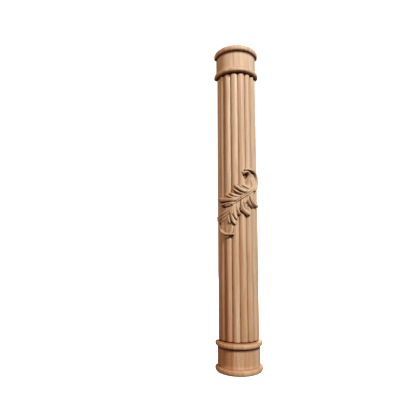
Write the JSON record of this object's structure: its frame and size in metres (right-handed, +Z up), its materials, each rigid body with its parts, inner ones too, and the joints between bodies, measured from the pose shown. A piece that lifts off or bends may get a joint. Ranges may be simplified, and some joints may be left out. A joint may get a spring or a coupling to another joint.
{
  "type": "half-round column",
  "caption": "Half-round reeded wooden column with turned rings and a plain drum at each end and an acanthus leaf with a scroll carved across its shaft.",
  "frame": {"origin": "middle of the bounding box on the plane that the column stands on", "axes": "+Z up along the column, +Y out of the flat sawn back, -Y out of the crown of the round front, +X to the viewer's right"},
  "size_m": [0.1, 0.05, 0.7],
  "materials": {
    "carved_wood": "bare beech, turned, carved and sanded, with no finish on it"
  },
  "bodies": {
    "root": {"half_round_column": "carved_wood"}
  },
  "joints": []
}
